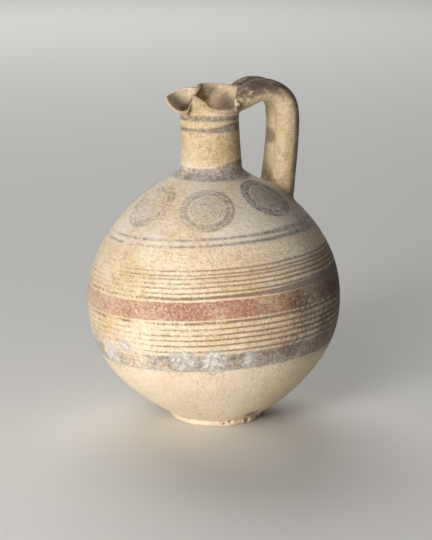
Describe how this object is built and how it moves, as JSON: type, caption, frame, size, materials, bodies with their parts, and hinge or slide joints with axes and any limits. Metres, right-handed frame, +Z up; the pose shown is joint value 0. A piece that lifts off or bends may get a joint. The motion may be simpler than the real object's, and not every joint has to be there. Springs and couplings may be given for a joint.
{
  "type": "oinochoe",
  "caption": "Round bodied clay wine jug with a narrow neck, a pinched three lobed pouring mouth and a double roll handle, painted with bands and concentric circles.",
  "frame": {"origin": "centre of the foot's underside, on the surface the jug stands on", "axes": "+Z up through the neck, +X towards the handle, so the spout points to -X and the lower lobe of the mouth is on the -Y side"},
  "size_m": [0.19, 0.19, 0.2555],
  "materials": {
    "fired_clay": "matte"
  },
  "bodies": {
    "root": {"oinochoe": "fired_clay"}
  },
  "joints": []
}
